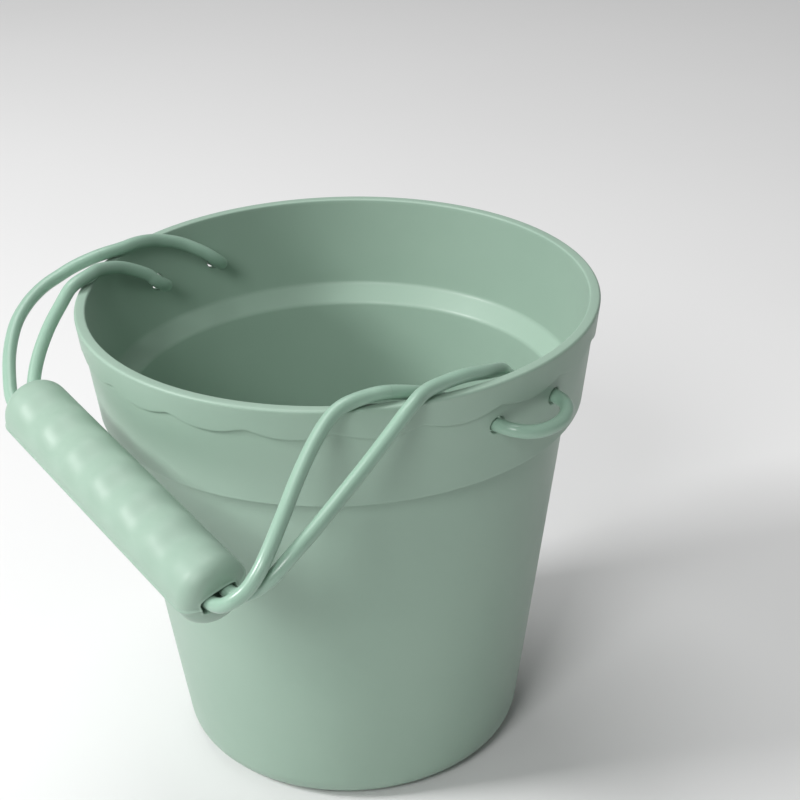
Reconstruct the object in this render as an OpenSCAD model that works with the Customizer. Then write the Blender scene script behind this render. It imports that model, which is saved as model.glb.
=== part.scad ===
// Flexible sand bucket with a stepped band, a scalloped rim collar and a cord bail.
// Origin at the centre of the underside, +Z up. The bail's hinge line runs along X,
// and the handle hangs in front of the bucket, on the -Y side.
// All sizes are in millimetres.

/* [Bucket] */
// Height from the underside to the top of the rim
bucket_h = 145; // [140:1:150]
// Outer diameter at the rim
rim_d = 152.2; // [150:0.2:156]
// Outer diameter of the wall just above the bottom corner
base_d = 105; // [98:1:108]
// Outer diameter of the wall just under the band
waist_d = 134.4; // [130:0.2:136]
// Height of the wider band under the rim
band_h = 30.9; // [26:0.1:34]
// Wall thickness of the body
wall_t = 3; // [2.4:0.2:3.4]
// Radius of the bottom corner
corner_r = 8.3; // [6:0.1:10]

/* [Rim collar] */
// Number of scallops round the collar
scallop_count = 20; // [18:1:22]
// How far the collar stands out from the band
collar_t = 0.9; // [0.6:0.1:1.2]
// Depth of each scallop, from cusp to lowest point
scallop_depth = 2.6; // [2:0.1:3]
// Height of the collar at the lowest point of a scallop
collar_h = 9.3; // [8:0.1:10]

/* [Bail] */
// Diameter of the cord
cord_d = 3.9; // [3:0.1:4]
// Diameter of the cord holes in the wall
hole_d = 5; // [4.6:0.1:5.4]

/* [Grip] */
// Length of the grip
grip_l = 103; // [95:1:110]
// Diameter of the grip
grip_d = 19.3; // [18:0.1:20]
// Rounding radius of the grip's ends
grip_round = 5; // [3:0.5:6]
// Number of finger grooves
groove_count = 6; // [4:1:7]

/* [Hidden] */

$fn = 96;
sage = [0.60, 0.71, 0.65];
sage_dark = [0.52, 0.64, 0.58];
cord_green = [0.58, 0.73, 0.65];

// Band and rim
band_z = bucket_h - band_h;
rim_r = rim_d / 2;
band_top_r = rim_r - collar_t;
band_taper = 0.125;
band_bottom_r = band_top_r - band_taper * band_h;
rim_wall_t = 3.3;
rim_inner_r = rim_r - rim_wall_t;
ledge_top = 3;
ledge_bottom = 2;
rim_round = 0.8;

// Cord holes, which the cord's routes go through
hole_pitch = 23;
hole_z = 131;

// Scallops: arcs of circles that meet in cusps
scallop_pitch = 360 / scallop_count;
half_chord = rim_r * sin(scallop_pitch / 2);
scallop_r = (half_chord * half_chord + scallop_depth * scallop_depth) / (2 * scallop_depth);
collar_low_z = bucket_h - collar_h;

// Grip: where its middle is, and how it is turned about Z, Y and X
grip_c = [8, -89.5, 118.2];
grip_turn = -9.8;
grip_tilt = 6.6;
grip_roll = 16.5;
slot_w = 10.6;
slot_h = 4.7;
run_y = 2.75;
run_half = 44;
groove_r = 12;
groove_depth = 0.9;
groove_pitch = 14.3;
joiner_l = 18;
joiner_d = 4.5;
joiner_gap = 0.02;
end_gap = 0.1;

// Cord routes, one point per ring. Left is the mirror of right only for the loops.
loop_route = [[61.6, -22.2, 139.6], [60.9, -19.4, 136.8], [61.7, -15.8, 134],
    [64.6, -12.7, 131.9], [68.8, -11.5, 131], [73, -11.5, 131], [77, -10.6, 130.8],
    [80, -8, 130.3], [81.8, -4.2, 129.9], [82.3, 0, 129.8], [81.8, 4.2, 129.9],
    [80, 8, 130.3], [77, 10.6, 130.8], [73, 11.5, 131], [68.8, 11.5, 131],
    [65, 10.1, 131.9], [62.2, 7.6, 133.8], [61.6, 4.4, 136.6], [63.4, 1, 139.5]];

inner_front_right = [[61.9, -22.9, 140.1], [62.1, -30.5, 144.2], [60, -39.5, 147.1],
    [58.2, -45, 147.5]];
outer_front_right = [[57.9, -46, 147.5], [56.6, -52.5, 147], [56.6, -58, 145],
    [58.6, -65.5, 141.3], [61.8, -74, 136.5], [65.4, -82.5, 131], [67.8, -90, 125],
    [68.1, -93.6, 121.3], [67, -96.6, 117.5], [64.8, -99.2, 114.7],
    [61.2, -100.5, 112.3], [56.4, -100.5, 111.7], [50.6, -99.5, 112.4]];

inner_rear_right = [[64, 0.3, 140], [66.7, -4.6, 143], [68.6, -11.5, 145.5],
    [68.1, -19, 147.1], [67.2, -26, 147.4], [66.9, -33, 147.3]];
outer_rear_right = [[67.2, -34, 147.3], [68.3, -40.5, 145.7], [68.6, -47, 142],
    [68.9, -56, 136.8], [69.6, -65.5, 132.2], [70.6, -75, 128.2], [70.5, -84, 123.5],
    [68.7, -90, 118.5], [65.1, -93.4, 114.6], [61.5, -95.7, 113.2],
    [57.5, -95.4, 113.2], [51.7, -94.4, 113.9]];

inner_front_left = [[-61.9, -22.9, 140.1], [-62.1, -30.5, 144.2], [-60.3, -39.5, 147.1],
    [-58.6, -45, 147.6]];
outer_front_left = [[-58.2, -46, 147.6], [-57.3, -52.5, 146.5], [-56.2, -57.8, 142.8],
    [-54.6, -63.5, 138.5], [-52.2, -69, 133.8], [-49.2, -73.6, 129.5],
    [-45.6, -77, 126.1], [-40.4, -78.5, 124.7], [-34.6, -79.5, 124.1]];

inner_rear_left = [[-64, 0.3, 140], [-66.7, -4.6, 143], [-68.6, -11.5, 145.5],
    [-68.3, -19, 147.2], [-68.1, -26, 147.4], [-69.2, -33, 147.1]];
outer_rear_left = [[-69.4, -34, 147], [-71.2, -40.5, 145.6], [-72.5, -46, 143.7],
    [-72.5, -52.5, 141.9], [-70.2, -60, 139.7], [-66.3, -67.3, 136.6],
    [-60.6, -74, 132], [-53.6, -79.6, 127.4], [-47.6, -83.1, 124.2],
    [-41.5, -83.7, 123.2], [-35.7, -84.6, 122.5]];

// Points of an arc in the plane
function arc(cx, cy, r, a0, a1, n) =
    [for (i = [0:n]) let (a = a0 + (a1 - a0) * i / n) [cx + r * cos(a), cy + r * sin(a)]];

function unit(v) = v / norm(v);

// Direction of a route at point i
function heading(route, i) =
    unit(route[min(i + 1, len(route) - 1)] - route[max(i - 1, 0)]);

// One ring of a swept tube, square to the route
function ring(route, i, r, sides) =
    let (t = heading(route, i),
         u = unit(cross(t, abs(t[2]) < 0.9 ? [0, 0, 1] : [0, 1, 0])),
         w = cross(u, t))
    [for (k = [0:sides - 1]) let (a = 360 * k / sides)
        route[i] + r * (cos(a) * u + sin(a) * w)];

// Round tube along a route
module tube(route, d = cord_d, sides = 8) {
    n = len(route);
    points = [for (i = [0:n - 1]) each ring(route, i, d / 2, sides)];
    walls = [for (i = [0:n - 2], k = [0:sides - 1])
        let (a = i * sides + k, b = i * sides + (k + 1) % sides)
        each [[a, a + sides, b], [b, a + sides, b + sides]]];
    near_end = [for (k = [0:sides - 1]) k];
    far_end = [for (k = [0:sides - 1]) n * sides - 1 - k];
    polyhedron(points = points, faces = concat(walls, [near_end], [far_end]), convexity = 10);
}

// Section of the bucket's wall and floor
module shell_section() {
    inner_base_r = base_d / 2 - wall_t;
    inner_waist_r = waist_d / 2 - wall_t;
    inner_corner_r = corner_r - wall_t;
    inner_band_r = rim_inner_r - band_taper * (band_h - ledge_top);
    polygon(concat(
        [[0, 0]],
        arc(base_d / 2 - corner_r, corner_r, corner_r, -90, 0, 6),
        [[waist_d / 2, band_z], [band_bottom_r, band_z], [band_top_r, bucket_h - rim_round]],
        [[band_top_r, bucket_h], [rim_inner_r, bucket_h]],
        [[inner_band_r, band_z + ledge_top], [inner_waist_r, band_z - ledge_bottom]],
        arc(inner_base_r - inner_corner_r, wall_t + inner_corner_r, inner_corner_r, 0, -90, 5),
        [[0, wall_t]]));
}

// Collar before its lower edge is scalloped
module collar_section() {
    low_r = band_top_r - band_taper * (collar_h + 1);
    polygon(concat(
        [[low_r - 1, collar_low_z - 1], [low_r + collar_t, collar_low_z - 1]],
        arc(rim_r - rim_round, bucket_h - rim_round, rim_round, 0, 90, 4),
        [[band_top_r - 1, bucket_h]]));
}

module collar() {
    reach = 30;
    intersection() {
        rotate_extrude() collar_section();
        union() {
            for (k = [0:scallop_count - 1])
                rotate([0, 0, (k + 1) * scallop_pitch])
                    translate([rim_r - reach / 2, 0, collar_low_z + scallop_r])
                        rotate([0, 90, 0]) cylinder(r = scallop_r, h = reach);
            translate([0, 0, collar_low_z + scallop_depth])
                cylinder(r = rim_r + 1, h = collar_h);
        }
    }
}

module cord_holes() {
    for (side = [-1, 1])
        translate([0, side * hole_pitch / 2, hole_z])
            rotate([0, 90, 0]) cylinder(d = hole_d, h = rim_d + 20, center = true);
}

module bucket_shell() {
    color(sage)
    difference() {
        union() {
            rotate_extrude() shell_section();
            collar();
        }
        cord_holes();
    }
}

// Places what is drawn along X at the grip's own position and tilt
module at_grip() {
    translate(grip_c) rotate([0, 0, grip_turn]) rotate([0, grip_tilt, 0])
        rotate([grip_roll, 0, 0]) children();
}

module grip_blank() {
    r = grip_d / 2;
    half = grip_l / 2;
    rotate([0, 90, 0]) rotate_extrude()
        polygon(concat([[0, -half]],
            arc(r - grip_round, grip_round - half, grip_round, -90, 0, 5),
            arc(r - grip_round, half - grip_round, grip_round, 0, 90, 5),
            [[0, half]]));
}

// Opening with round ends that holds two cords side by side
module cord_slot() {
    length = grip_l + 2;
    cube([length, slot_w - slot_h, slot_h], center = true);
    for (side = [-1, 1])
        translate([0, side * (slot_w - slot_h) / 2, 0])
            rotate([0, 90, 0]) cylinder(d = slot_h, h = length, center = true);
}

module finger_grooves() {
    first = -(groove_count - 1) / 2;
    for (k = [0:groove_count - 1])
        translate([(first + k) * groove_pitch, 0, grip_d / 2 + groove_r - groove_depth])
            rotate([90, 0, 0]) cylinder(r = groove_r, h = grip_d + 2, center = true);
}

// Half of the grip: up = 1 is the half above the parting plane, -1 the half below
module grip_half(up) {
    size = [grip_l + 2, grip_d + 2, grip_d];
    difference() {
        intersection() {
            grip_blank();
            translate([0, 0, up * grip_d / 2]) cube(size, center = true);
        }
        cord_slot();
        if (up > 0) finger_grooves();
    }
}

module grip_upper_half() { color(sage) at_grip() grip_half(1); }
module grip_lower_half() { color(sage_dark) at_grip() grip_half(-1); }

// Straight stretch of cord inside the grip
module cord_run(x0, x1, y) {
    translate([x0, y, 0]) rotate([0, 90, 0]) cylinder(d = cord_d, h = x1 - x0);
}

module cord_run_front() { color(cord_green) at_grip() cord_run(-run_half, run_half, -run_y); }
module cord_run_rear_right() { color(cord_green) at_grip() cord_run(end_gap, run_half, run_y); }
module cord_run_rear_left() { color(cord_green) at_grip() cord_run(-run_half, -end_gap, run_y); }

// Sleeve that joins the two ends of the cord inside the grip
module cord_joiner() {
    color("silver") at_grip()
    translate([-joiner_l / 2, run_y, 0]) rotate([0, 90, 0])
    difference() {
        cylinder(d = joiner_d, h = joiner_l);
        translate([0, 0, -1]) cylinder(d = cord_d + 2 * joiner_gap, h = joiner_l + 2);
    }
}

module cord_loop_right() { color(cord_green) tube(loop_route); }
module cord_loop_left() { color(cord_green) mirror([1, 0, 0]) tube(loop_route); }
module inner_strand_front_right() { color(cord_green) tube(inner_front_right); }
module inner_strand_rear_right() { color(cord_green) tube(inner_rear_right); }
module inner_strand_front_left() { color(cord_green) tube(inner_front_left); }
module inner_strand_rear_left() { color(cord_green) tube(inner_rear_left); }
module outer_strand_front_right() { color(cord_green) tube(outer_front_right); }
module outer_strand_rear_right() { color(cord_green) tube(outer_rear_right); }
module outer_strand_front_left() { color(cord_green) tube(outer_front_left); }
module outer_strand_rear_left() { color(cord_green) tube(outer_rear_left); }

bucket_shell();
cord_loop_right();
cord_loop_left();
inner_strand_front_right();
inner_strand_rear_right();
inner_strand_front_left();
inner_strand_rear_left();
outer_strand_front_right();
outer_strand_rear_right();
outer_strand_front_left();
outer_strand_rear_left();
grip_upper_half();
grip_lower_half();
cord_run_front();
cord_run_rear_right();
cord_run_rear_left();
cord_joiner();
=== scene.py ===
"""Soft silicone sand bucket with a stepped band, a scalloped collar and a cord bail.

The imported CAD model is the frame. The camera and the cord come first, then the detailed
bucket and grip that replace their CAD nodes, the materials, and the floor and lights.
Everything is in metres and degrees, in the frame's own axes.
"""

import math

import bmesh
import bpy
import numpy as np
from mathutils import Matrix, Vector


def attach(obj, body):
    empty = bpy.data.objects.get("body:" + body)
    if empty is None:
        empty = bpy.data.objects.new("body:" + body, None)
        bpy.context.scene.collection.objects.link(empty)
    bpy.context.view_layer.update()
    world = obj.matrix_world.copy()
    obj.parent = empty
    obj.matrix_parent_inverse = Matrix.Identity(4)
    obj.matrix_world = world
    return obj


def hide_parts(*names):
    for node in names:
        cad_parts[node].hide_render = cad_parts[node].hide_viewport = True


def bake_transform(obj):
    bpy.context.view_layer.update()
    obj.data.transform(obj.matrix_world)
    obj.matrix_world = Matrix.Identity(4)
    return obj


MM = 0.001
SHARP_ANGLE = math.radians(50)

# ---------------------------------------------------------------- camera
CAMERA_PLACE = (0.36009, -0.33567, 0.36181)
CAMERA_HEADING = (-0.6288, 0.6288, -0.4577)
CAMERA_ROLL = -0.024
CAMERA_LENS = 83.16
CAMERA_SENSOR = 36

# ---------------------------------------------------------------- bucket
BUCKET_H = 145 * MM
RIM_R = 76.1 * MM
BASE_R = 52.5 * MM
WAIST_R = 67.2 * MM
BAND_Z = 114.1 * MM
BAND_TAPER = 0.125
WALL_T = 3.0 * MM
RIM_WALL_T = 3.3 * MM
CORNER_R = 8.3 * MM
COLLAR_T = 0.9 * MM
COLLAR_LOW_Z = 135.7 * MM
SCALLOP_COUNT = 20
SCALLOP_DEPTH = 2.6 * MM
SCALLOP_TRIM = 0.25 * MM
SCALLOP_BLUNT = 0.55 * MM
LEDGE_TOP = 3.0 * MM
LEDGE_BOTTOM = 2.0 * MM
HOLE_R = 2.5 * MM
HOLE_Y = 11.5 * MM
HOLE_Z = 131 * MM
HOLE_EDGE = 0.45 * MM
SWAY = 0.16 * MM

# Where the shell's outline starts under the floor and ends on it, inwards of the wall
HEEL_INSET = 1.0 * MM
UNDERSIDE_REACH = 20 * MM
FLOOR_REACH = 25 * MM

# Rounding of the shell's edges, up the outside and down the inside
LEDGE_CORNER = 0.2 * MM
BAND_EDGE = 0.25 * MM
COLLAR_ROOT = 0.15 * MM
COLLAR_EDGE = 0.28 * MM
RIM_OUTER_EDGE = 0.75 * MM
RIM_INNER_EDGE = 0.6 * MM
STEP_ROUND = 2.5 * MM

# The shell's grid: columns round it, rows along its stretches, and the half side of the square
# patch that opens for a hole
SHELL_COLUMNS = 720
BODY_ROWS = 46
BAND_ROWS = 26
COLLAR_ROWS = 12
CAVITY_ROWS = 30
CAVITY_ARC = 8
PATCH_HALF = 6

# ---------------------------------------------------------------- cord and grip
CORD_D = 3.9 * MM
CORD_STEP = 0.6 * MM
GRIP_CENTRE = (0.008, -0.0895, 0.1182)
GRIP_TURN = -9.8
GRIP_TILT = 6.6
GRIP_ROLL = 16.5
GRIP_L = 103 * MM
GRIP_R = 9.65 * MM
GRIP_ROUND = 5 * MM
GRIP_STATIONS = 180
GROOVE_COUNT = 6
GROOVE_PITCH = 14.3 * MM
GROOVE_DEPTH = 1.3 * MM
SLOT_HALF_W = 5.2 * MM
SLOT_HALF_H = 2.3 * MM
SLOT_EDGE = 0.25 * MM
SLOT_MOUTH = 3 * MM
FACE_FLAT = 1.8 * MM
LIP_FOOT = 1.2 * MM
LIP_RISE = 0.30 * MM
LIP_CENTRE = 0.35 * MM
LIP_WIDTH = 0.22 * MM
LIP_STEPS = (0.8 * MM, 0.6 * MM, 0.45 * MM)
SEAM_RISE = 0.45 * MM
SEAM_WIDTH = 0.5 * MM

# Where the cord bends, as a start and an end. The ends of the loops bend inside the wall,
# and the front and rear strands bend over the rim.
LOOP_BEND = ((0, -0.0029, 0.1360), (0, -0.0149, 0.1568))
FRONT_BEND = ((0, -0.0395, 0.147), (0, -0.0660, 0.147))
REAR_BEND = ((0, -0.0335, 0.147), (0, -0.0520, 0.147))

# Routes of the cord, right and left of the bucket. The left loop mirrors the right one.
# A front or rear route starts at a loop's end. Its points up to the split lie inside the rim
# and are drawn with the loop, and the rest is the strand to the grip.
FRONT_SPLIT = 2
REAR_SPLIT = 5
LOOP_RIGHT = [
    (0.0616, -0.0222, 0.1396), (0.0609, -0.0194, 0.1368), (0.0617, -0.0158, 0.1340),
    (0.0646, -0.0127, 0.1319), (0.0688, -0.0115, 0.1310), (0.0730, -0.0115, 0.1310),
    (0.0770, -0.0106, 0.1308), (0.0800, -0.0080, 0.1303), (0.0818, -0.0042, 0.1299),
    (0.0823, 0.0000, 0.1298), (0.0818, 0.0042, 0.1299), (0.0800, 0.0080, 0.1303),
    (0.0770, 0.0106, 0.1308), (0.0730, 0.0115, 0.1310), (0.0688, 0.0115, 0.1310),
    (0.0650, 0.0101, 0.1319), (0.0622, 0.0076, 0.1338), (0.0616, 0.0044, 0.1366),
    (0.0634, 0.0010, 0.1395),
]
FRONT_RIGHT = [
    (0.0616, -0.0222, 0.1396), (0.0621, -0.0305, 0.1442), (0.0600, -0.0395, 0.1471),
    (0.0580, -0.0455, 0.1475), (0.0566, -0.0525, 0.1470), (0.0566, -0.0580, 0.1450),
    (0.0586, -0.0655, 0.1413), (0.0618, -0.0740, 0.1365), (0.0654, -0.0825, 0.1310),
    (0.0678, -0.0900, 0.1250), (0.0681, -0.0936, 0.1213), (0.0670, -0.0966, 0.1175),
    (0.0648, -0.0992, 0.1147), (0.0612, -0.1005, 0.1123), (0.0564, -0.1005, 0.1117),
    (0.0506, -0.0995, 0.1124),
]
REAR_RIGHT = [
    (0.0634, 0.0010, 0.1395), (0.0667, -0.0046, 0.1430), (0.0686, -0.0115, 0.1455),
    (0.0681, -0.0190, 0.1471), (0.0672, -0.0260, 0.1474), (0.0670, -0.0335, 0.1473),
    (0.0683, -0.0405, 0.1457), (0.0686, -0.0470, 0.1420), (0.0689, -0.0560, 0.1368),
    (0.0696, -0.0655, 0.1322), (0.0706, -0.0750, 0.1282), (0.0705, -0.0840, 0.1235),
    (0.0687, -0.0900, 0.1185), (0.0651, -0.0934, 0.1146), (0.0615, -0.0957, 0.1132),
    (0.0575, -0.0954, 0.1132), (0.0517, -0.0944, 0.1139),
]
FRONT_LEFT = [
    (-0.0616, -0.0222, 0.1396), (-0.0621, -0.0305, 0.1442), (-0.0603, -0.0395, 0.1471),
    (-0.0584, -0.0455, 0.1476), (-0.0573, -0.0525, 0.1465), (-0.0562, -0.0578, 0.1428),
    (-0.0546, -0.0635, 0.1385), (-0.0522, -0.0690, 0.1338), (-0.0492, -0.0736, 0.1295),
    (-0.0456, -0.0770, 0.1261), (-0.0404, -0.0785, 0.1247), (-0.0346, -0.0795, 0.1241),
]
REAR_LEFT = [
    (-0.0634, 0.0010, 0.1395), (-0.0667, -0.0046, 0.1430), (-0.0686, -0.0115, 0.1455),
    (-0.0683, -0.0190, 0.1472), (-0.0681, -0.0260, 0.1474), (-0.0693, -0.0335, 0.1471),
    (-0.0712, -0.0405, 0.1456), (-0.0725, -0.0460, 0.1437), (-0.0725, -0.0525, 0.1419),
    (-0.0702, -0.0600, 0.1397), (-0.0663, -0.0673, 0.1366), (-0.0606, -0.0740, 0.1320),
    (-0.0536, -0.0796, 0.1274), (-0.0476, -0.0831, 0.1242), (-0.0415, -0.0837, 0.1232),
    (-0.0357, -0.0846, 0.1225),
]

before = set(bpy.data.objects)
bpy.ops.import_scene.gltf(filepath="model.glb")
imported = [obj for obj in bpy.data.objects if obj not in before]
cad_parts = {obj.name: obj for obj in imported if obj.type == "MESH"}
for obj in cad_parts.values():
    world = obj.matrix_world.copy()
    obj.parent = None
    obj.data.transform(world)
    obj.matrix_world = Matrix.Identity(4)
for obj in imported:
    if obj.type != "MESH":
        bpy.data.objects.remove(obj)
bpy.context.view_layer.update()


# ================================================================ camera
def make_camera():
    """Camera at the height and turn that show the bucket from above its right front."""
    heading = Vector(CAMERA_HEADING).normalized()
    level_right = heading.cross(Vector((0, 0, 1))).normalized()
    level_up = level_right.cross(heading)
    right = level_right * math.cos(CAMERA_ROLL) + level_up * math.sin(CAMERA_ROLL)
    up = level_up * math.cos(CAMERA_ROLL) - level_right * math.sin(CAMERA_ROLL)
    data = bpy.data.cameras.new("camera")
    data.sensor_width = CAMERA_SENSOR
    data.lens = CAMERA_LENS
    data.clip_start = 0.01
    camera = bpy.data.objects.new("camera", data)
    turn = Matrix((right, up, -heading)).transposed().to_4x4()
    camera.matrix_world = Matrix.Translation(CAMERA_PLACE) @ turn
    bpy.context.scene.collection.objects.link(camera)
    bpy.context.scene.camera = camera


# ================================================================ mesh helpers
def new_object(name, vertices, faces):
    """A mesh object with its faces turned outwards, smooth but for its sharp edges."""
    mesh = bpy.data.meshes.new(name)
    mesh.from_pydata([tuple(v) for v in vertices], [], faces)
    mesh.update()
    tidy = bmesh.new()
    tidy.from_mesh(mesh)
    bmesh.ops.recalc_face_normals(tidy, faces=tidy.faces)
    for face in tidy.faces:
        face.smooth = True
    for edge in tidy.edges:
        edge.smooth = edge.calc_face_angle(0) < SHARP_ANGLE
    tidy.to_mesh(mesh)
    tidy.free()
    obj = bpy.data.objects.new(name, mesh)
    bpy.context.scene.collection.objects.link(obj)
    return obj


def smooth_path(points, step, before=None, after=None):
    """Catmull-Rom curve through the points, sampled about one step apart.
    before and after are the points of the neighbouring stretches, so that they join smoothly."""
    p = np.array(points, float)
    before = 2 * p[0] - p[1] if before is None else before
    after = 2 * p[-1] - p[-2] if after is None else after
    p = np.vstack([before, p, after])
    path = []
    for a, b, c, d in zip(p, p[1:], p[2:], p[3:]):
        count = max(2, round(np.linalg.norm(c - b) / step))
        for t in np.arange(count) / count:
            path.append(0.5 * (2 * b + (c - a) * t + (2 * a - 5 * b + 4 * c - d) * t**2
                               + (3 * b - a - 3 * c + d) * t**3))
    path.append(p[-2])
    return np.array(path)


def tube(name, path, radius, sides=28):
    """Round closed tube along a path, with its rings carried along without twist."""
    tangent = np.gradient(path, axis=0)
    tangent /= np.linalg.norm(tangent, axis=1)[:, None]
    side = np.cross(tangent[0], (0, 0, 1))
    turn = np.arange(sides) * 2 * math.pi / sides
    rings = []
    for point, t in zip(path, tangent):
        side = side - t * side.dot(t)
        side /= np.linalg.norm(side)
        up = np.cross(t, side)
        rings.append(point + radius * (np.outer(np.cos(turn), side) + np.outer(np.sin(turn), up)))
    vertices = np.concatenate(rings)
    count = len(path)
    faces = []
    for i in range(count - 1):
        for k in range(sides):
            a, b = i * sides + k, i * sides + (k + 1) % sides
            faces.append((a, b, b + sides, a + sides))
    faces.append(tuple(range(sides)))
    faces.append(tuple((count - 1) * sides + k for k in reversed(range(sides))))
    return new_object(name, vertices, faces)


# ================================================================ cord
def make_cord(name, path, nodes, bodies, start, end, lay):
    """One free stretch of the cord, drawn as a round tube along its path in place of its CAD nodes.
    """
    piece = tube(name, path, CORD_D / 2)
    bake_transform(piece)
    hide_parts(*nodes)
    return piece


def make_cords():
    """A loop on each side, and a front and a rear strand from each loop to the grip."""
    pieces = []
    loops = {"right": LOOP_RIGHT, "left": [(-x, y, z) for x, y, z in LOOP_RIGHT]}
    strands = {"right": (FRONT_RIGHT, REAR_RIGHT), "left": (FRONT_LEFT, REAR_LEFT)}
    for side, loop in loops.items():
        front, rear = strands[side]
        over_rim = front[FRONT_SPLIT:0:-1] + loop + rear[1:REAR_SPLIT + 1]
        path = smooth_path(over_rim, CORD_STEP, before=front[FRONT_SPLIT + 1],
                           after=rear[REAR_SPLIT + 1])
        nodes = [f"cord_loop_{side}", f"inner_strand_front_{side}", f"inner_strand_rear_{side}"]
        pieces.append(make_cord(f"cord_{side}_loop", path, nodes, ("bucket", "cord_over_rim"),
                                *LOOP_BEND, "loose"))
        for place, route, split, bend in (("front", front, FRONT_SPLIT, FRONT_BEND),
                                          ("rear", rear, REAR_SPLIT, REAR_BEND)):
            name = f"{place}_{side}"
            path = smooth_path(route[split:], CORD_STEP, before=route[split - 1])
            pieces.append(make_cord(f"cord_{name}", path, [f"outer_strand_{name}"],
                                    ("cord_over_rim", "handle"), *bend, "hanging"))
    return pieces


# ================================================================ bucket
def between(a, b, n):
    """Points on the line from a to b that divide it into n, without either end."""
    return [tuple(np.array(a) + (np.array(b) - np.array(a)) * i / n) for i in range(1, n)]


def rounded(points, radii, n=5):
    """Outline whose corners are rounded, each with its own radius."""
    out = [points[0]]
    for i in range(1, len(points) - 1):
        p, r = np.array(points[i]), radii[i]
        a = np.array(points[i - 1]) - p
        b = np.array(points[i + 1]) - p
        a, b = a / np.linalg.norm(a), b / np.linalg.norm(b)
        half = math.acos(np.clip(a.dot(b), -1, 1)) / 2
        if r == 0 or half > 1.5:
            out.append(tuple(p))
            continue
        centre = p + (a + b) / np.linalg.norm(a + b) * r / math.sin(half)
        first, last = p + a * r / math.tan(half), p + b * r / math.tan(half)
        start = math.atan2(*(first - centre)[::-1])
        sweep = (math.atan2(*(last - centre)[::-1]) - start + math.pi) % (2 * math.pi) - math.pi
        for t in start + sweep * np.linspace(0, 1, n + 1):
            out.append((centre[0] + r * math.cos(t), centre[1] + r * math.sin(t)))
    out.append(points[-1])
    return out


def band_r(z):
    """Outer radius of the band at a height."""
    return RIM_R - COLLAR_T - BAND_TAPER * (BUCKET_H - z)


def inner_r(z):
    """Inner radius of the wall behind the band."""
    return RIM_R - RIM_WALL_T - BAND_TAPER * (BUCKET_H - z)


def scallop_z(turn):
    """Height of the collar's lower edge: arcs that meet in cusps, which are a little blunt."""
    pitch = 2 * math.pi / SCALLOP_COUNT
    half_chord = RIM_R * math.sin(pitch / 2)
    radius = (half_chord**2 + SCALLOP_DEPTH**2) / (2 * SCALLOP_DEPTH)
    off = (turn + pitch / 2) % pitch - pitch / 2
    across = RIM_R * abs(math.sin(off))
    rise = radius - math.sqrt(radius**2 - across**2)
    top = SCALLOP_DEPTH - SCALLOP_TRIM
    soft = 0.5 * (rise + top - math.sqrt((rise - top)**2 + SCALLOP_BLUNT**2))
    return COLLAR_LOW_Z + max(soft, 0)


def shell_outline(turn):
    """Outline of the wall at one azimuth, from under the floor up the outside, over the rim and
    down the inside. Returns its points, and the first of the rows that a hole may open on
    the outside and on the inside. Both run along straight stretches with even rows."""
    low = scallop_z(turn)
    body = rounded([(BASE_R - CORNER_R - UNDERSIDE_REACH, 0), (BASE_R - HEEL_INSET, 0),
                    (WAIST_R, BAND_Z)],
                   [0, CORNER_R, 0], 14)[:-1]
    ledge = rounded([(BASE_R, 0), (WAIST_R, BAND_Z), (band_r(BAND_Z), BAND_Z),
                     (band_r(low), low)],
                    [0, LEDGE_CORNER, BAND_EDGE, 0], 5)[1:-1]
    rows = body + between(body[-1], ledge[0], BODY_ROWS) + ledge
    under_collar = (band_r(low - COLLAR_T), low - COLLAR_T)
    outside = len(rows)
    rows += between(ledge[-1], under_collar, BAND_ROWS) + [under_collar]
    rows += rounded([under_collar, (band_r(low), low), (band_r(low) + COLLAR_T, low),
                     (RIM_R, BUCKET_H)],
                    [0, COLLAR_ROOT, COLLAR_EDGE, 0], 5)[1:-1]
    rim = rounded([rows[-1], (RIM_R - 0.02 * MM, BUCKET_H), (RIM_R - RIM_WALL_T, BUCKET_H),
                   (inner_r(130 * MM), 130 * MM)],
                  [0, RIM_OUTER_EDGE, RIM_INNER_EDGE, 0], 6)[1:-1]
    rows += between(rows[-1], rim[0], COLLAR_ROWS) + rim
    inside = len(rows)
    cavity = rounded([rows[-1], (inner_r(BAND_Z + LEDGE_TOP), BAND_Z + LEDGE_TOP),
                      (WAIST_R - WALL_T, BAND_Z - LEDGE_BOTTOM), (BASE_R - WALL_T, WALL_T),
                      (BASE_R - WALL_T - FLOOR_REACH, WALL_T)],
                     [0, STEP_ROUND, STEP_ROUND, CORNER_R - WALL_T, 0], CAVITY_ARC)[1:]
    bends = 2 * (CAVITY_ARC + 1)
    rows += between(rows[-1], cavity[0], CAVITY_ROWS) + cavity[:bends]
    rows += between(cavity[bends - 1], cavity[bends], CAVITY_ROWS) + cavity[bends:]
    return rows, outside, inside


def shell_sway(turn, z):
    """How far the soft wall strays from round: a fraction of a millimetre, none at the band."""
    free = math.sin(math.pi * min(max(z / BAND_Z, 0), 1))
    return SWAY * free * (math.sin(2 * turn + 0.6) + 0.5 * math.sin(5 * turn + 30 * z))


def patch_edge(columns, rows):
    """Grid places round a patch, anticlockwise from its first corner."""
    c0, c1, r0, r1 = columns[0], columns[-1], rows[0], rows[-1]
    edge = [(c, r0) for c in columns]
    edge += [(c1, r) for r in rows[1:]]
    edge += [(c, r1) for c in reversed(columns[:-1])]
    edge += [(c0, r) for r in reversed(rows[1:-1])]
    return edge


def lathe_faces(first, second):
    """Faces between two closed rings of as many vertices."""
    count = len(first)
    return [(first[k], first[(k + 1) % count], second[(k + 1) % count], second[k])
            for k in range(count)]


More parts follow.
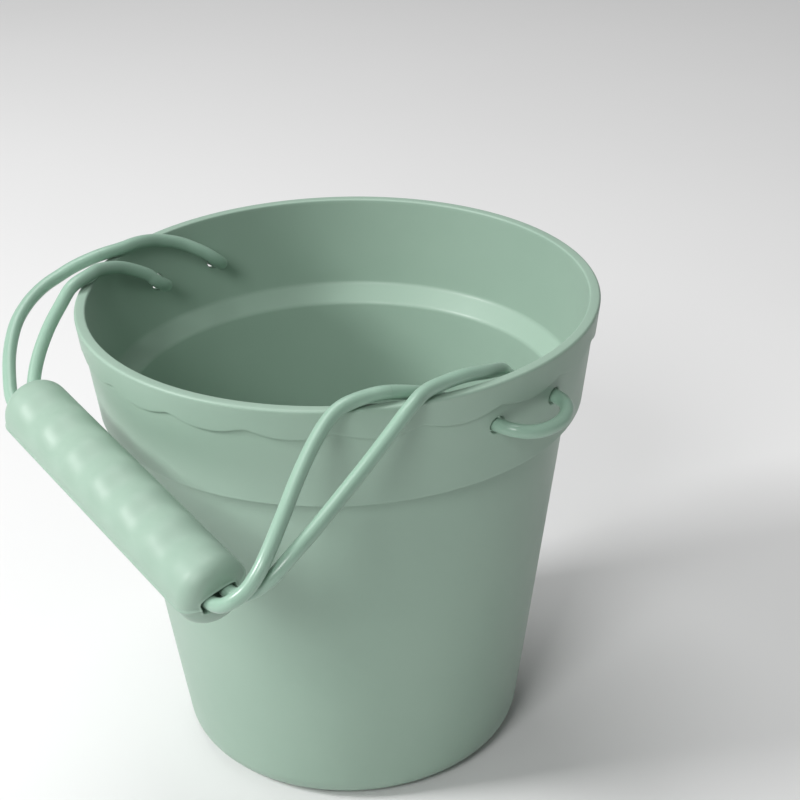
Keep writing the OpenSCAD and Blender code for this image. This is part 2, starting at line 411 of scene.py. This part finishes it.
def hole_rings(vertices, edge, sign, side, outer):
    """Rings from the edge of an opened patch to the rounded mouth of a hole, added to vertices.
    Returns the faces and the last ring, which lies on the hole's wall."""
    centre_y = side * HOLE_Y
    inwards = -sign if outer else sign

    def ring(ratio, radius, drop):
        first = len(vertices)
        for v in edge:
            _, y0, z0 = vertices[v]
            angle = math.atan2(z0 - HOLE_Z, y0 - centre_y)
            y = y0 + ratio * (centre_y + radius * math.cos(angle) - y0)
            z = z0 + ratio * (HOLE_Z + radius * math.sin(angle) - z0)
            r = band_r(z) if outer else inner_r(z)
            vertices.append((sign * math.sqrt(r * r - y * y) + inwards * drop, y, z))
        return list(range(first, len(vertices)))

    faces, previous = [], edge
    mouth = HOLE_R + HOLE_EDGE
    steps = [(ratio, mouth, 0) for ratio in (0.25, 0.5, 0.75, 1)]
    for a in np.radians((22.5, 45, 67.5, 90)):
        steps.append((1, mouth - HOLE_EDGE * math.sin(a), HOLE_EDGE * (1 - math.cos(a))))
    for step in steps:
        new = ring(*step)
        faces += lathe_faces(previous, new)
        previous = new
    return faces, previous


def make_shell():
    """The bucket: one closed skin with four round holes for the cord."""
    turns = [2 * math.pi * k / SHELL_COLUMNS for k in range(SHELL_COLUMNS)]
    vertices = []
    for turn in turns:
        rows, outside, inside = shell_outline(turn)
        for r, z in rows:
            r += shell_sway(turn, z)
            vertices.append((r * math.cos(turn), r * math.sin(turn), z))
    count = len(rows)

    opened, faces = set(), []
    for sign in (-1, 1):
        for side in (-1, 1):
            walls = []
            for start, outer in ((outside, True), (inside, False)):
                r = band_r(HOLE_Z) if outer else inner_r(HOLE_Z)
                turn = math.atan2(side * HOLE_Y, sign * math.sqrt(r * r - HOLE_Y**2))
                column = round(turn / (2 * math.pi) * SHELL_COLUMNS)
                columns = [(column + k) % SHELL_COLUMNS
                           for k in range(-PATCH_HALF, PATCH_HALF + 1)]
                heights = [vertices[columns[PATCH_HALF] * count + start + i][2]
                           for i in range(BAND_ROWS)]
                middle = start + int(np.argmin(np.abs(np.array(heights) - HOLE_Z)))
                rows = list(range(middle - PATCH_HALF, middle + PATCH_HALF + 1))
                opened |= {(c, i) for c in columns[:-1] for i in rows[:-1]}
                edge = patch_edge(columns, rows if outer else rows[::-1])
                ring_faces, wall = hole_rings(
                    vertices, [c * count + i for c, i in edge], sign, side, outer)
                faces += ring_faces
                walls.append(wall)
            faces += lathe_faces(*walls)

    for k in range(SHELL_COLUMNS):
        here, there = k * count, (k + 1) % SHELL_COLUMNS * count
        for i in range(count - 1):
            if (k, i) not in opened:
                faces.append((here + i, there + i, there + i + 1, here + i + 1))
    faces.append(tuple(k * count for k in range(SHELL_COLUMNS)))
    faces.append(tuple(k * count + count - 1 for k in reversed(range(SHELL_COLUMNS))))
    return new_object("bucket_silicone_shell", vertices, faces)


# ================================================================ grip
def grip_place():
    """Where the grip's middle is, and how it is turned about Z, Y and X."""
    return (Matrix.Translation(GRIP_CENTRE)
            @ Matrix.Rotation(math.radians(GRIP_TURN), 4, "Z")
            @ Matrix.Rotation(math.radians(GRIP_TILT), 4, "Y")
            @ Matrix.Rotation(math.radians(GRIP_ROLL), 4, "X"))


def groove_drop(x, turn):
    """Depth of the finger grooves: a smooth wave along the top, which fades out round the sides."""
    half = GROOVE_COUNT * GROOVE_PITCH / 2
    if abs(x) >= half:
        return 0
    wave = 0.5 * (1 - math.cos(2 * math.pi * (x + half) / GROOVE_PITCH))
    fade = max(math.sin(turn), 0) ** 1.6
    return GROOVE_DEPTH * wave * fade


def slot_radius(turn):
    """Distance from the axis to the slot's edge. The slot is an oblong with round corners."""
    across = abs(math.cos(turn)) / SLOT_HALF_W
    upwards = abs(math.sin(turn)) / SLOT_HALF_H
    return (across**5 + upwards**5) ** -0.2


def seam_rise(turn):
    """Height of the fine raised line where the two halves meet."""
    off = min(turn, math.pi - turn) * GRIP_R
    return SEAM_RISE * math.exp(-(off / SEAM_WIDTH)**2)


def grip_outline(turn, up):
    """Closed outline in the plane of the axis: outer face, rounded end, raised lip round the
    slot, the slot and the other end."""
    half = GRIP_L / 2
    seam = seam_rise(turn)
    slot = slot_radius(turn)
    face_r = GRIP_R - GRIP_ROUND
    points = []
    for x in np.linspace(-half + GRIP_ROUND, half - GRIP_ROUND, GRIP_STATIONS):
        points.append((x, GRIP_R - (groove_drop(x, turn) if up else 0) + seam))
    top = max(face_r, slot + FACE_FLAT)
    end = []

    def on_end(rho, rise=0):
        """A point of the rounded end at a distance from the axis."""
        lean = math.asin(min(max((rho - face_r) / GRIP_ROUND, 0), 1))
        end.append((half - GRIP_ROUND * (1 - math.cos(lean)) + seam * math.cos(lean) + rise,
                    rho + seam * math.sin(lean)))

    for lean in np.linspace(math.radians(84), math.asin((top - face_r) / GRIP_ROUND), 16):
        on_end(face_r + GRIP_ROUND * math.sin(lean))
    for rho in np.linspace(top, slot + LIP_FOOT, 4)[1:]:
        on_end(rho)
    for away in LIP_STEPS:
        on_end(slot + away, LIP_RISE * math.exp(-((away - LIP_CENTRE) / LIP_WIDTH)**2))
    on_end(slot + SLOT_EDGE, LIP_RISE)
    mouth = end[-1][0]
    for a in np.radians((60, 30, 0)):
        end.append((mouth - (SLOT_EDGE + LIP_RISE) * (1 - math.sin(a)),
                    slot + SLOT_EDGE * (1 - math.cos(a))))
    inner_half = half - SLOT_MOUTH
    slot_wall = [(x, slot) for x in np.linspace(inner_half, -inner_half, 12)]
    return points + end + slot_wall + [(-x, rho) for x, rho in reversed(end)]


def make_grip_half(name, up):
    """One half of the grip, from seam to seam, with finer steps where the seam rises."""
    steps = 72
    edge = np.array([0, 0.006, 0.013, 0.022, 0.034, 0.05, 0.07])
    middle = np.linspace(0.1, math.pi - 0.1, steps)
    turns = np.concatenate([edge, middle, math.pi - edge[::-1]])
    place = grip_place()
    vertices, faces = [], []
    for t in turns:
        for x, rho in grip_outline(t, up):
            z = rho * math.sin(t) * (1 if up else -1)
            vertices.append(place @ Vector((x, rho * math.cos(t), z)))
    count = len(vertices) // len(turns)
    for k in range(len(turns) - 1):
        for i in range(count):
            j = (i + 1) % count
            faces.append((k * count + i, k * count + j, (k + 1) * count + j, (k + 1) * count + i))
    faces.append(tuple(range(count)))
    faces.append(tuple((len(turns) - 1) * count + i for i in reversed(range(count))))
    return new_object(name, vertices, faces)


# ================================================================ materials
def node_material(name):
    material = bpy.data.materials.new(name)
    material.use_nodes = True
    nodes, links = material.node_tree.nodes, material.node_tree.links
    return material, nodes, links, nodes["Principled BSDF"]


def noise(nodes, links, where, scale, detail=4):
    texture = nodes.new("ShaderNodeTexNoise")
    texture.inputs["Scale"].default_value = scale
    texture.inputs["Detail"].default_value = detail
    links.new(where, texture.inputs["Vector"])
    return texture.outputs["Fac"]


def ramp(nodes, links, value, stops):
    node = nodes.new("ShaderNodeValToRGB")
    node.color_ramp.elements[0].position, node.color_ramp.elements[0].color = stops[0]
    node.color_ramp.elements[1].position, node.color_ramp.elements[1].color = stops[1]
    links.new(value, node.inputs["Fac"])
    return node.outputs["Color"]


def bump(nodes, links, heights):
    """Chain of bumps: (value, strength, distance) each."""
    normal = None
    for value, strength, distance in heights:
        node = nodes.new("ShaderNodeBump")
        node.inputs["Strength"].default_value = strength
        node.inputs["Distance"].default_value = distance
        links.new(value, node.inputs["Height"])
        if normal:
            links.new(normal, node.inputs["Normal"])
        normal = node.outputs["Normal"]
    return normal


def silicone(name, dark, light, roughness, specular, coat, grain, sub):
    """Moulded silicone: even colour with a faint cloud, fine matte grain and a soft sheen."""
    material, nodes, links, shader = node_material(name)
    where = nodes.new("ShaderNodeTexCoord").outputs["Object"]
    cloud = noise(nodes, links, where, 16, 3)
    links.new(ramp(nodes, links, cloud, [(0.3, (*dark, 1)), (0.7, (*light, 1))]),
              shader.inputs["Base Color"])
    patch = noise(nodes, links, where, 45, 5)
    low, high = roughness
    rough = ramp(nodes, links, patch, [(0.35, (low, low, low, 1)), (0.65, (high, high, high, 1))])
    links.new(rough, shader.inputs["Roughness"])
    fine = noise(nodes, links, where, 2600, 2)
    wavy = noise(nodes, links, where, 60, 2)
    links.new(bump(nodes, links, [(wavy, 0.25, 0.0006), (fine, grain, 0.00005)]),
              shader.inputs["Normal"])
    shader.inputs["IOR"].default_value = 1.41
    shader.inputs["Specular IOR Level"].default_value = specular
    shader.inputs["Coat Weight"].default_value = coat
    shader.inputs["Coat Roughness"].default_value = low - 0.1
    shader.inputs["Sheen Weight"].default_value = 0.04
    shader.inputs["Sheen Roughness"].default_value = 0.5
    shader.inputs["Subsurface Weight"].default_value = sub
    shader.inputs["Subsurface Radius"].default_value = (0.9, 1.0, 0.95)
    shader.inputs["Subsurface Scale"].default_value = 0.0015
    return material


def joiner_metal():
    material, nodes, links, shader = node_material("joiner_metal")
    where = nodes.new("ShaderNodeTexCoord").outputs["Object"]
    links.new(ramp(nodes, links, noise(nodes, links, where, 400),
                   [(0.3, (0.55, 0.56, 0.57, 1)), (0.7, (0.70, 0.71, 0.72, 1))]),
              shader.inputs["Base Color"])
    shader.inputs["Metallic"].default_value = 1
    shader.inputs["Roughness"].default_value = 0.35
    return material


def dress(obj, material):
    obj.data.materials.clear()
    obj.data.materials.append(material)


# ================================================================ floor and lights
def make_floor():
    size = 20.0
    half = size / 2
    vertices = [(-half, -half, 0), (half, -half, 0), (half, half, 0), (-half, half, 0)]
    floor = new_object("floor", vertices, [(0, 1, 2, 3)])
    material, nodes, links, shader = node_material("floor")
    where = nodes.new("ShaderNodeTexCoord").outputs["Object"]
    tint = ramp(nodes, links, noise(nodes, links, where, 3),
                [(0.3, (0.77, 0.77, 0.77, 1)), (0.7, (0.79, 0.79, 0.79, 1))])
    links.new(tint, shader.inputs["Base Color"])
    shader.inputs["Roughness"].default_value = 0.9
    dress(floor, material)


def area_light(name, place, target, size, power):
    data = bpy.data.lights.new(name, "AREA")
    data.shape = "RECTANGLE"
    data.size, data.size_y = size
    data.energy = power
    light = bpy.data.objects.new(name, data)
    light.location = place
    light.rotation_mode = "QUATERNION"
    light.rotation_quaternion = (Vector(target) - Vector(place)).to_track_quat("-Z", "Y")
    bpy.context.scene.collection.objects.link(light)


def make_lights():
    middle = (0, 0, 0.09)
    area_light("key", (-0.70, -1.10, 1.02), middle, (0.36, 0.36), 19.5)
    area_light("fill", (0.50, -1.10, 1.05), middle, (0.45, 0.45), 9.3)
    area_light("top", (-0.35, 0.1, 1.4), middle, (0.8, 0.8), 8)
    world = bpy.data.worlds.new("studio")
    world.use_nodes = True
    background = world.node_tree.nodes["Background"]
    background.inputs["Color"].default_value = (1, 1, 1, 1)
    background.inputs["Strength"].default_value = 0.18
    bpy.context.scene.world = world
    bpy.context.scene.view_settings.view_transform = "Standard"


# ================================================================ the whole
def main():
    make_camera()
    cords = make_cords()

    shell = make_shell()
    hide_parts("bucket_shell")
    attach(shell, "bucket")

    grips = []
    for name, node, up in (("grip_upper", "grip_upper_half", True),
                           ("grip_lower", "grip_lower_half", False)):
        half = make_grip_half(name, up)
        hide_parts(node)
        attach(half, "handle")
        grips.append(half)

    bucket_look = silicone("bucket_silicone", (0.278, 0.396, 0.320), (0.298, 0.418, 0.338),
                           (0.42, 0.52), 0.60, 0.10, 0.25, 0.15)
    grip_look = silicone("grip_silicone", (0.280, 0.399, 0.322), (0.300, 0.421, 0.340),
                         (0.46, 0.56), 0.60, 0.10, 0.25, 0.15)
    cord_look = silicone("cord_silicone", (0.275, 0.425, 0.335), (0.295, 0.447, 0.353),
                         (0.30, 0.38), 0.50, 0.30, 0.10, 0.2)
    metal = joiner_metal()
    dress(shell, bucket_look)
    for half in grips:
        dress(half, grip_look)
    for piece in cords:
        dress(piece, cord_look)
    for name in ("cord_run_front", "cord_run_rear_right", "cord_run_rear_left"):
        dress(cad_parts[name], cord_look)
    dress(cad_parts["cord_joiner"], metal)

    make_floor()
    make_lights()


main()
